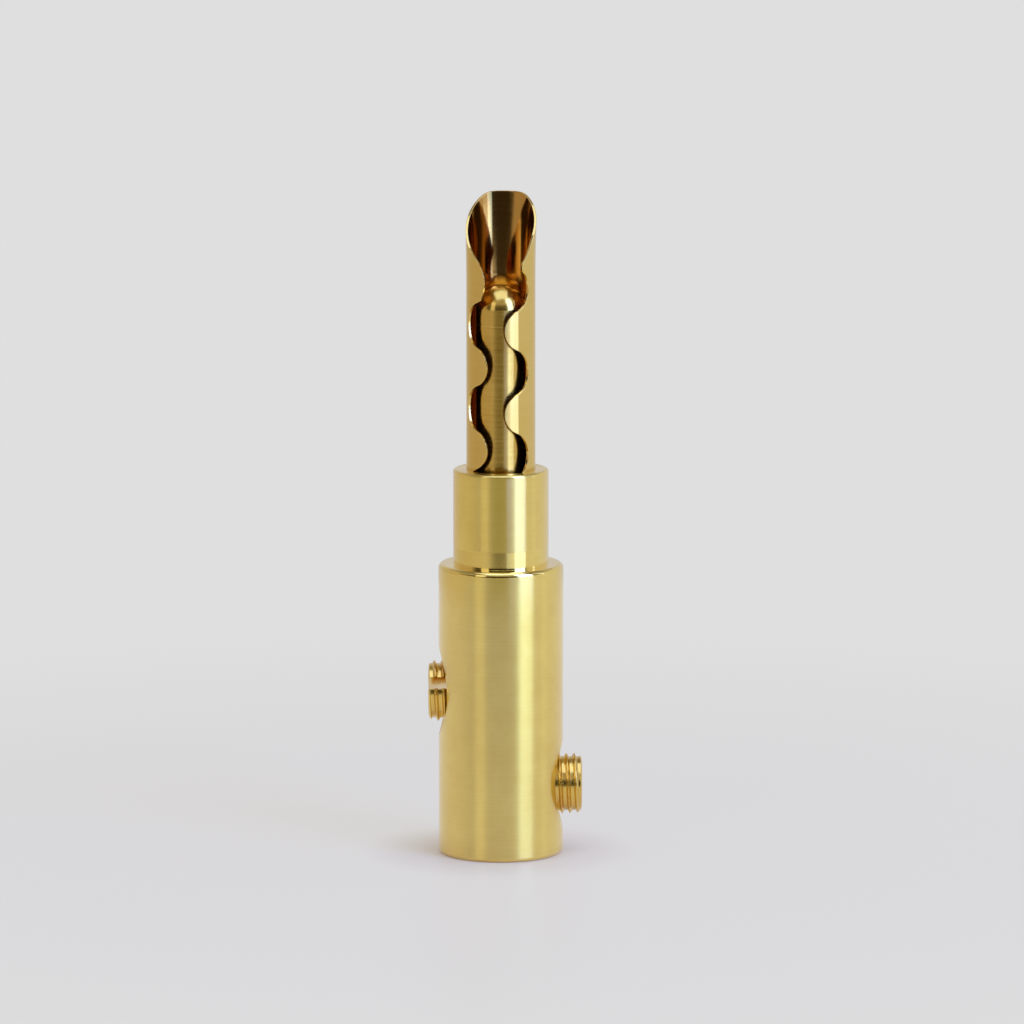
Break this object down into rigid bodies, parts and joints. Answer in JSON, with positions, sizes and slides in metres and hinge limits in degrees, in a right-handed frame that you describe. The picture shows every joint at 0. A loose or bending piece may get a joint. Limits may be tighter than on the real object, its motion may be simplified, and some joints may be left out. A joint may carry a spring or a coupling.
{
  "type": "banana plug",
  "caption": "Screw-clamp banana plug: round barrel with side set screws for the cable, stepped collar, and a rolled contact sleeve with a wavy slot and scooped mouth around a core pin.",
  "frame": {"origin": "on the plug's axis, in the end face of the barrel where the cable enters", "axes": "+Z along the plug's axis to the mouth of the contact sleeve, -Y out through the sleeve's wavy slot, +X out through the lower set screw"},
  "size_m": [0.0099, 0.008, 0.0425],
  "materials": {
    "brushed_gold": "gold plate over fine turning, satin",
    "sleeve_gold": "gold plate, bright",
    "core_gold": "gold plate over fine turning, bright",
    "screw_gold": "gold plate, bright"
  },
  "bodies": {
    "plug": {"barrel": "brushed_gold", "contact_sleeve": "sleeve_gold", "core_pin": "core_gold"},
    "upper_screw": {"upper_set_screw": "screw_gold"},
    "lower_screw": {"lower_set_screw": "screw_gold"}
  },
  "joints": [
    {"name": "upper_screw_travel", "type": "slide", "parent": "plug", "child": "upper_screw", "axis": [-1, 0, 0], "range_m": [-0.0012, 0.00115]},
    {"name": "lower_screw_travel", "type": "slide", "parent": "plug", "child": "lower_screw", "axis": [1, 0, 0], "range_m": [-0.00175, 0.0006]}
  ]
}
